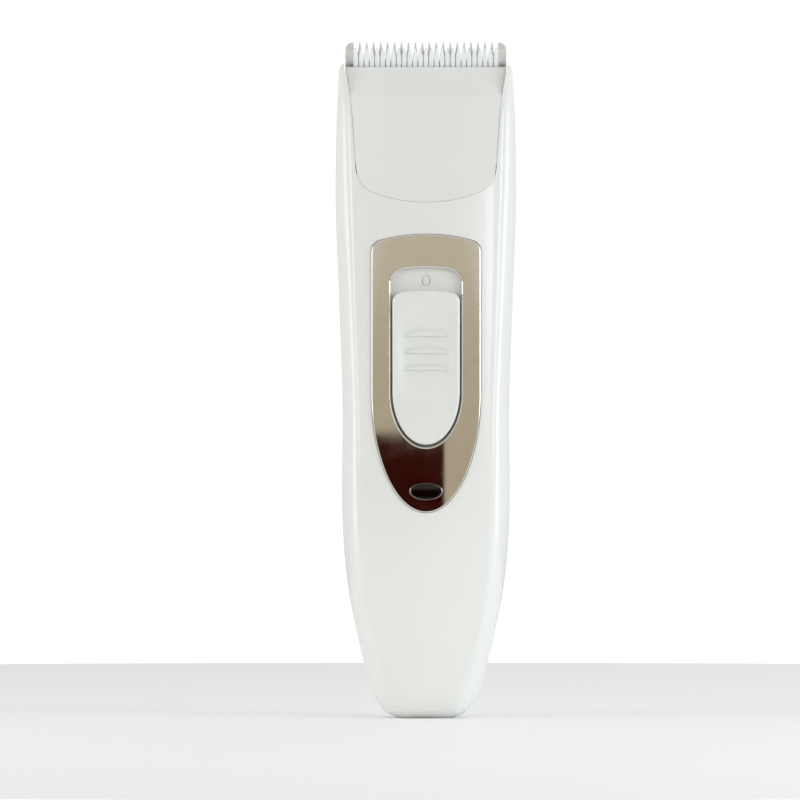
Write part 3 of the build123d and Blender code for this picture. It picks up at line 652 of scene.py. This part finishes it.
def off_mark():
    """Cutter for the engraved ring that marks the off position."""
    profile = [(0.0, -0.1), (0.0, MARK_DEPTH), (-MARK_LINE, MARK_DEPTH), (-MARK_LINE, -0.1)]
    rings = []
    for grow, depth in profile:
        outline = ellipse(MARK_HALF_WIDTH + grow, MARK_HALF_HEIGHT + grow, MARK_Z, MARK_POINTS)
        rings.append(at_depth(outline, RECESS_FLOOR + depth))
    return ringed("off_mark", rings, closed=True)


def dish_y(x, z):
    """Button face: a thumb dish along the middle with a soft rim at each side."""
    radius = (DISH_HALF**2 + DISH_DEPTH**2) / (2 * DISH_DEPTH)
    reach = abs(z - DISH_CENTRE)
    depth = 0.0
    if reach < DISH_HALF:
        depth = math.sqrt(radius**2 - reach**2) - (radius - DISH_DEPTH)
    side = min(max((BUTTON["half"] - BUTTON_FACE_INSET - abs(x)) / DISH_RAMP, 0.0), 1.0)
    return BUTTON_FACE + depth * side * side * (3 - 2 * side)


def grip(z):
    """Crescent grip: steep below, fading into the dish above.

    Each row is (height as a share of the rise, how far it stands out of the dish).
    """
    columns = np.linspace(-1, 1, GRIP_COLUMNS)
    rows = [(-0.14, -0.6), (-0.12, 0.1), (-0.08, 0.66), (-0.02, 0.85), (0.06, 0.92), (0.18, 0.9)]
    rows += [(0.45, 0.66), (0.75, 0.34), (1.0, -0.02), (1.0, -0.6)]
    rings = []
    for share, rise in rows:
        ring = []
        for column in columns:
            x = column * GRIP_HALF
            full = math.sqrt(max(1 - column**2, 0.0))
            height = z + share * GRIP_RISE * full
            lift = rise * min(1.0, full * 1.6) if rise > 0 else rise
            ring.append((x, max(dish_y(x, height) - lift, BUTTON_FACE), height))
        rings.append(np.array(ring))
    points = np.concatenate(rings)
    count = len(columns)
    faces = []
    for r in range(len(rings)):
        a, b = r * count, (r + 1) % len(rings) * count
        faces += [(a + i, a + i + 1, b + i + 1, b + i) for i in range(count - 1)]
    return new_object("grip", points, faces)


def button_grid(grow):
    """Rows over the button's outline, each column straight up from the bowl to the arch."""
    outline = arched(BUTTON, grow)
    half = BUTTON["half"] + grow
    spread = half * np.sin(np.linspace(-math.pi / 2, math.pi / 2, BUTTON_COLUMNS))
    share = np.minimum(np.abs(spread) / half, 1)
    bowl = BUTTON["straight"] - (BUTTON["drop"] + grow) * np.sqrt(1 - share**2)
    right = outline[(outline[:, 0] >= -1e-6) & (outline[:, 1] > BUTTON["straight"] + 10)]
    order = np.argsort(right[:, 0], kind="stable")
    side_top = right[right[:, 0] > half - 1e-6][:, 1].max()
    arch = np.interp(np.abs(spread), right[order, 0], right[order, 1])
    arch[0] = arch[-1] = side_top
    return [np.column_stack([spread, bowl + t * (arch - bowl)]) for t in np.linspace(0, 1, BUTTON_ROWS)]


def sheet_faces(rows, columns, start=0):
    """Quads of a grid whose points are stored row by row."""
    faces = []
    for r in range(rows - 1):
        a = start + r * columns
        b = a + columns
        faces += [(a + i, a + i + 1, b + i + 1, b + i) for i in range(columns - 1)]
    return faces


def power_button():
    """Button with a dished face, rounded edges and three grips."""
    edge = [(-0.28, BUTTON_FACE + 0.2), (-0.08, BUTTON_FACE + 0.5), (0.0, BUTTON_FACE + 0.9)]
    edge += [(0.0, BUTTON_BACK)]
    top = [at_depth(row, dish_y) for row in button_grid(-BUTTON_FACE_INSET)]
    rims = [at_depth(loop_of(button_grid(grow)), depth) for grow, depth in edge]
    points = [point for row in top for point in row]
    faces = sheet_faces(BUTTON_ROWS, BUTTON_COLUMNS)
    loops = [loop_of(top)] + rims
    start = len(points)
    for loop in loops:
        points.extend(loop)
    closing = ring_faces(len(loops), len(loops[0]), False, True)
    faces += [tuple(start + i for i in face) for face in closing]
    button = smooth(new_object("power_button", points, faces), 40)
    grips = [smooth(grip(z), 50) for z in GRIP_HEIGHTS]
    return join(button, grips)


def shield_depth(z):
    """Side view of the cover's front: scoop, shield, soft crease, band."""
    lean = (CREASE_Y - SCOOP_TOP_Y) / (COVER_CREASE - SCOOP_TOP)
    shield = SCOOP_TOP_Y + (z - SCOOP_TOP) * lean
    band = CREASE_Y + (z - COVER_CREASE) * (BAND_RISE / (COVER_TOP - COVER_CREASE))
    if z < SCOOP_TOP:
        share = (SCOOP_TOP - z) / (SCOOP_TOP - COVER_BOTTOM)
        shield -= SCOOP_LEAN * share + SCOOP_BOW * share**2
    gap = band - shield
    return shield + (gap + math.sqrt(gap**2 + CREASE_SOFT)) / 2


def shield_point(x, z):
    """Cover surface with its band rounded off at both ends."""
    reach = abs(x) - (side_half(z) - BAND_ROLL)
    share = min(max((z - COVER_CREASE + 1.0) / BAND_ROLL_RAMP, 0.0), 1.0)
    roll = share * max(reach, 0.0) ** 2 / (2 * BAND_ROLL_RADIUS)
    return shield_depth(z) + roll


def shield_grid(grow):
    """Points of the cover from its lower curve up to the lip, row by row, and their columns."""
    outline = cover_outline(grow)
    count = len(outline)
    right = outline[: (count + 1) // 2]
    lower = right[right[:, 1] <= COVER_LOW_SIDE + CORNER_RISE]
    bottom = np.concatenate([lower[::-1] * (-1, 1), lower[1:]])
    steps = np.concatenate([[0], np.cumsum(np.hypot(*np.diff(bottom, axis=0).T))])
    shares = np.linspace(0, steps[-1], SHIELD_COLUMNS)
    base = np.column_stack([np.interp(shares, steps, bottom[:, i]) for i in range(2)])
    straight = COVER_LOW_SIDE + STRAIGHT_RISE
    spread = np.linspace(-1, 1, SHIELD_COLUMNS)
    rows = []
    for share in np.linspace(0, 1, 22):
        level = np.column_stack([spread * (side_half(straight) + grow), np.full(len(spread), straight)])
        rows.append(base * (1 - share) + level * share)
    heights = np.concatenate([
        np.arange(straight + SHIELD_STEP, COVER_CREASE - 1.0, SHIELD_STEP),
        np.linspace(COVER_CREASE - 0.9, COVER_CREASE + 1.0, 13),
        np.linspace(COVER_CREASE + 1.7, COVER_TOP + grow, 9),
    ])
    for z in heights:
        rows.append(np.column_stack([spread * (side_half(z) + grow), np.full(len(spread), z)]))
    return rows


def loop_of(rows):
    """Outer loop of a grid of rows."""
    low, high = rows[0], rows[-1]
    right = [row[-1] for row in rows[1:-1]]
    left = [row[0] for row in rows[1:-1]]
    return np.array(list(low) + right + list(high[::-1]) + left[::-1])


def shield():
    """Front cover of the clip-on head: scoop, flat shield, crease and band in one sheet."""
    edge = [(-0.08, 0.02), (-0.02, 0.08), (0.0, 0.18), (0.0, 1.1)]
    rows = shield_grid(-0.2)
    front = [at_depth(row, shield_point) for row in rows]
    back = [at_depth(row, lambda x, z: shield_point(x, z) + COVER_THICK) for row in shield_grid(-0.1)]
    rims = []
    for grow, lift in edge:
        loop = loop_of(shield_grid(grow))
        rims.append(at_depth(loop, lambda x, z: shield_point(x, z) + lift))
    points, faces = [], []
    for sheet in (front, back):
        start = len(points)
        for row in sheet:
            points.extend(row)
        faces += sheet_faces(len(sheet), SHIELD_COLUMNS, start)
    loops = [loop_of(front)] + rims + [loop_of(back)]
    start = len(points)
    for loop in loops:
        points.extend(loop)
    count = len(loops[0])
    faces += [tuple(start + i for i in face) for face in ring_faces(len(loops), count, False, False)]
    return smooth(new_object("head_shield", points, faces), 40)


# ---- materials -----------------------------------------------------------------------------------
def colour(red, green, blue):
    """Linear colour from 0-255 screen values."""
    return tuple((v / 255) ** 2.2 for v in (red, green, blue)) + (1.0,)


def colour_ramp(tree, value, stops):
    """Colours blended along a value: stops are (position, colour), in order."""
    node = tree.nodes.new("ShaderNodeValToRGB")
    bands = node.color_ramp.elements
    for band, (position, shade) in zip(bands, (stops[0], stops[-1])):
        band.position = position
        band.color = shade
    for position, shade in stops[1:-1]:
        bands.new(position).color = shade
    tree.links.new(value, node.inputs["Fac"])
    return node.outputs["Color"]


def map_range(tree, value, start, end, low=0.0, high=1.0, soft=False):
    """Takes start to low and end to high, in a straight line or a soft step."""
    node = tree.nodes.new("ShaderNodeMapRange")
    if soft:
        node.interpolation_type = "SMOOTHSTEP"
    node.inputs["From Min"].default_value = start
    node.inputs["From Max"].default_value = end
    node.inputs["To Min"].default_value = low
    node.inputs["To Max"].default_value = high
    tree.links.new(value, node.inputs["Value"])
    return node.outputs["Result"]


def blend(tree, share, first, second):
    """The first colour where share is 0 and the second where it is 1."""
    node = tree.nodes.new("ShaderNodeMix")
    node.data_type = "RGBA"
    tree.links.new(share, node.inputs["Factor"])
    tree.links.new(first, node.inputs["A"])
    tree.links.new(second, node.inputs["B"])
    return node.outputs["Result"]


class Shader:
    """Node material built round one Principled shader."""

    def __init__(self, name, rough, metal=0.0, coat=0.0):
        self.material = bpy.data.materials.new(name)
        self.material.use_nodes = True
        self.tree = self.material.node_tree
        self.shader = self.tree.nodes["Principled BSDF"]
        self.shader.inputs["Metallic"].default_value = metal
        self.shader.inputs["Roughness"].default_value = rough
        self.shader.inputs["Coat Weight"].default_value = coat
        self.shader.inputs["Coat Roughness"].default_value = 0.08
        place = self.tree.nodes.new("ShaderNodeTexCoord")
        self.place = place.outputs["Object"]

    def link(self, source, target):
        self.tree.links.new(source, target)

    def noise(self, scale, stretch=(1, 1, 1), detail=3.0):
        """Noise in metres, stretched along one axis for grain."""
        mapping = self.tree.nodes.new("ShaderNodeMapping")
        mapping.inputs["Scale"].default_value = stretch
        self.link(self.place, mapping.inputs["Vector"])
        node = self.tree.nodes.new("ShaderNodeTexNoise")
        node.inputs["Scale"].default_value = scale
        node.inputs["Detail"].default_value = detail
        self.link(mapping.outputs["Vector"], node.inputs["Vector"])
        return node.outputs["Fac"]

    def paint(self, value, first, second):
        """Colour that wanders between two values."""
        tone = colour_ramp(self.tree, value, [(0.35, first), (0.65, second)])
        self.link(tone, self.shader.inputs["Base Color"])

    def gloss(self, value, low, high):
        """Roughness that wanders between two values."""
        rough = map_range(self.tree, value, 0.3, 0.7, low, high)
        self.link(rough, self.shader.inputs["Roughness"])

    def relief(self, value, strength, depth):
        """Fine surface texture, with its depth in metres."""
        node = self.tree.nodes.new("ShaderNodeBump")
        node.inputs["Strength"].default_value = strength
        node.inputs["Distance"].default_value = depth
        self.link(value, node.inputs["Height"])
        self.link(node.outputs["Normal"], self.shader.inputs["Normal"])


def plastic(name, dark, light, rough, grain=0.15, scale=900.0, coat=0.0):
    """Moulded plastic: faint flow marks in its colour, fine texture in its gloss and relief."""
    make = Shader(name, rough, coat=coat)
    make.paint(make.noise(28.0, (1, 1, 0.35)), dark, light)
    make.gloss(make.noise(160.0), rough * 0.95, rough * 1.06)
    make.relief(make.noise(scale, detail=2.0), grain, 0.00003)
    return make.material


def metal(name, dark, light, rough, stretch=(1, 1, 1), scale=300.0, strength=0.2):
    """Metal with grain drawn out along one axis, uneven gloss and fine scratches."""
    make = Shader(name, rough, metal=1.0)
    make.paint(make.noise(scale, stretch, 4.0), dark, light)
    make.gloss(make.noise(scale * 0.7, stretch, 5.0), rough * 0.7, rough * 1.4)
    make.relief(make.noise(scale * 3.0, stretch, 3.0), strength, 0.00002)
    return make.material


def glassy(name, dark, light):
    """Smoked clear plastic over a dark light box."""
    make = Shader(name, 0.06, coat=0.3)
    make.paint(make.noise(220.0, detail=4.0), dark, light)
    make.gloss(make.noise(400.0), 0.04, 0.12)
    make.relief(make.noise(700.0), 0.05, 0.00002)
    return make.material


# ---- pieces --------------------------------------------------------------------------------------
white_dark, white_light = colour(229, 230, 227), colour(233, 234, 231)
looks = {
    "white_shell": plastic("shell_plastic", white_dark, white_light, 0.22, 0.1, coat=0.25),
    "white_button": plastic("button_plastic", colour(224, 226, 223), colour(229, 231, 228), 0.3),
    "chrome_trim": metal("chrome", colour(232, 229, 222), colour(235, 232, 226), 0.05, strength=0.01),
    "smoked_lens": glassy("smoked_window", colour(8, 4, 5), colour(20, 10, 10)),
    "screw_steel": metal("screw_steel", colour(150, 150, 148), colour(190, 190, 186), 0.3),
    "blade_steel": metal(
        "blade_steel", colour(230, 228, 225), colour(244, 243, 240), 0.42, (0.08, 1, 1), 7000, 0.25
    ),
    "blade_ceramic": plastic("blade_ceramic", colour(243, 247, 249), colour(250, 253, 254), 0.3),
    "spring_steel": metal("spring_steel", colour(160, 160, 158), colour(196, 196, 192), 0.25),
    "inner_plastic": plastic("inner_plastic", colour(208, 208, 202), colour(222, 222, 216), 0.5, 0.3),
    "carrier_plastic": plastic("carrier_plastic", colour(52, 52, 54), colour(70, 70, 72), 0.45, 0.3),
    "board_green": plastic("board_resin", colour(18, 70, 42), colour(30, 96, 58), 0.35, 0.3, 1500),
    "chip_black": plastic("chip_resin", colour(24, 24, 26), colour(42, 42, 44), 0.5, 0.4, 2200),
    "led_red": plastic("led_resin", colour(150, 16, 14), colour(190, 30, 24), 0.15, coat=0.8),
    "cell_sleeve": plastic("cell_sleeve", colour(26, 86, 140), colour(40, 108, 164), 0.25, coat=0.4),
    "nickel_strip": metal("nickel", colour(176, 172, 162), colour(206, 202, 190), 0.28),
    "contact_brass": metal("brass", colour(196, 160, 84), colour(222, 190, 116), 0.25),
    "wire_red": plastic("red_insulation", colour(160, 22, 20), colour(188, 36, 30), 0.4),
    "wire_black": plastic("black_insulation", colour(20, 20, 22), colour(38, 38, 40), 0.4),
    "motor_steel": metal("motor_steel", colour(166, 168, 170), colour(200, 202, 204), 0.32, (1, 1, 0.2)),
    "magnet_grey": metal("ferrite", colour(66, 66, 70), colour(92, 92, 96), 0.6, strength=0.5),
    "bronze_bush": metal("bronze", colour(150, 110, 66), colour(182, 142, 92), 0.4, strength=0.4),
    "copper_coil": metal("copper", colour(176, 96, 54), colour(212, 132, 82), 0.3, (1, 1, 8), 900, 0.8),
    "seal_foam": plastic("foam", colour(58, 58, 60), colour(92, 92, 94), 0.9, 1.0, 1400),
    "sleeve_rubber": plastic("rubber", colour(46, 46, 48), colour(66, 66, 68), 0.65, 0.5),
}


def finish_piece(obj, body, slot, replaced=()):
    """Material, the moving body it rides on, and the CAD parts it stands in for, for one piece."""
    obj.data.materials.clear()
    obj.data.materials.append(looks[slot])
    for face in obj.data.polygons:
        face.material_index = 0
    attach(obj, body)
    if replaced:
        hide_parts(*replaced)


slots = {part["node"]: part["material_slot"] for part in frame["record"]["subparts"]}
for node, obj in frame["nodes"].items():
    obj.data.materials.clear()
    obj.data.materials.append(looks[slots[node]])

front, tray = front_shell()
finish_piece(front, "housing", "white_shell", ["front_housing"])
finish_piece(tray, "housing", "white_shell")
finish_piece(rear_shell(), "housing", "white_shell", ["rear_housing"])
finish_piece(bezel(), "housing", "chrome_trim", ["switch_bezel"])
finish_piece(lens(), "housing", "smoked_lens", ["led_lens"])
finish_piece(lens_rim(), "housing", "chrome_trim")
finish_piece(power_button(), "power_button", "white_button", ["switch_button"])
finish_piece(shield(), "blade_head", "white_shell", ["head_cover"])


# ---- studio --------------------------------------------------------------------------------------
def area_light(name, place, width, height, power, tint=(1, 1, 1)):
    """Rectangular light that faces the middle of the clipper."""
    lamp = bpy.data.lights.new(name, "AREA")
    lamp.shape = "RECTANGLE"
    lamp.size = width
    lamp.size_y = height
    lamp.energy = power
    lamp.color = tint
    obj = bpy.data.objects.new(name, lamp)
    bpy.context.scene.collection.objects.link(obj)
    obj.location = place
    obj.rotation_euler = (Vector(LIGHT_TARGET) - Vector(place)).to_track_quat("-Z", "Y").to_euler()


def grey(level):
    """Neutral light of one strength, a touch less red."""
    return (level * 0.99, level, level, 1.0)


def wall_ahead(tree, across, height):
    """Warm grey wall in front of the clipper, with something dark red low on its left."""
    wall_stops = [(0.5, colour(178, 167, 146)), (0.62, colour(196, 187, 168))]
    wall = colour_ramp(tree, map_range(tree, height, -1.0, 1.0), wall_stops)
    low = map_range(tree, height, *DARK_TOP, soft=True)
    left = map_range(tree, across, *DARK_SIDE, soft=True)
    both = tree.nodes.new("ShaderNodeMath")
    both.operation = "MULTIPLY"
    tree.links.new(low, both.inputs[0])
    tree.links.new(left, both.inputs[1])
    node = tree.nodes.new("ShaderNodeMix")
    node.data_type = "RGBA"
    node.inputs["B"].default_value = colour(52, 17, 12)
    tree.links.new(both.outputs["Value"], node.inputs["Factor"])
    tree.links.new(wall, node.inputs["A"])
    return node.outputs["Result"]


def studio_world():
    """White room with a warm wall ahead. The picture's own background is plain white."""
    world = bpy.data.worlds.new("studio")
    bpy.context.scene.world = world
    world.use_nodes = True
    tree = world.node_tree
    shade = tree.nodes["Background"]
    place = tree.nodes.new("ShaderNodeTexCoord")
    split = tree.nodes.new("ShaderNodeSeparateXYZ")
    tree.links.new(place.outputs["Generated"], split.inputs["Vector"])
    height = split.outputs["Z"]
    room_stops = [(0.44, (0.4, 0.42, 0.43, 1.0)), (0.5, grey(0.74)), (0.62, grey(0.7))]
    room_stops += [(0.84, grey(0.54)), (0.97, (0.62, 0.62, 0.62, 1.0))]
    room = colour_ramp(tree, map_range(tree, height, -1.0, 1.0), room_stops)
    behind = map_range(tree, split.outputs["Y"], *WALL_EDGE)
    ahead = wall_ahead(tree, split.outputs["X"], height)
    tree.links.new(blend(tree, behind, ahead, room), shade.inputs["Color"])
    seen = tree.nodes.new("ShaderNodeLightPath")
    white = tree.nodes.new("ShaderNodeBackground")
    white.inputs["Color"].default_value = (1.05, 1.05, 1.05, 1.0)
    both = tree.nodes.new("ShaderNodeMixShader")
    tree.links.new(seen.outputs["Is Camera Ray"], both.inputs["Fac"])
    tree.links.new(shade.outputs["Background"], both.inputs[1])
    tree.links.new(white.outputs["Background"], both.inputs[2])
    tree.links.new(both.outputs["Shader"], tree.nodes["World Output"].inputs["Surface"])


def studio_floor():
    """Round pale floor."""
    angles = np.linspace(0, 2 * math.pi, 128, endpoint=False)
    points = [(FLOOR_RADIUS * math.cos(t), FLOOR_RADIUS * math.sin(t), 0) for t in angles]
    floor = new_object("studio_floor", points, [tuple(range(len(points)))])
    paint = Shader("floor_paint", 0.6)
    paint.paint(paint.noise(3.0), colour(252, 252, 252), colour(254, 254, 254))
    paint.shader.inputs["Emission Color"].default_value = (0.8, 0.95, 1.0, 1)
    paint.shader.inputs["Emission Strength"].default_value = 0.03
    floor.data.materials.append(paint.material)


bpy.context.scene.view_settings.view_transform = "Standard"
camera_data = bpy.data.cameras.new("camera")
camera_data.sensor_width = SENSOR
camera_data.lens = SENSOR * CAMERA_DISTANCE / VIEW_HEIGHT
camera = bpy.data.objects.new("camera", camera_data)
bpy.context.scene.collection.objects.link(camera)
camera.location = (VIEW_CENTRE[0], -CAMERA_DISTANCE, VIEW_CENTRE[2])
camera.rotation_euler = (math.pi / 2, 0, 0)
bpy.context.scene.camera = camera

studio_world()
studio_floor()
area_light("left_box", (-0.7, -0.42, 0.26), 0.35, 0.4, 1.5, WARM)
area_light("right_box", (0.7, -0.46, 0.26), 0.35, 0.4, 2.0, COOL)
area_light("left_side", (-0.8, 0.2, 0.12), 0.35, 0.4, 0.85, WARM)
area_light("right_side", (0.8, 0.2, 0.12), 0.35, 0.4, 0.9, COOL)
area_light("right_strip", (0.43, -0.9, 0.29), 0.055, 0.34, 0.5, (0.93, 0.97, 1.0))
area_light("top_box", (0.0, 0.0, 0.9), 0.8, 0.5, 0.45)
area_light("rear_box", (0.3, 0.8, 0.5), 0.5, 0.6, 0.4)
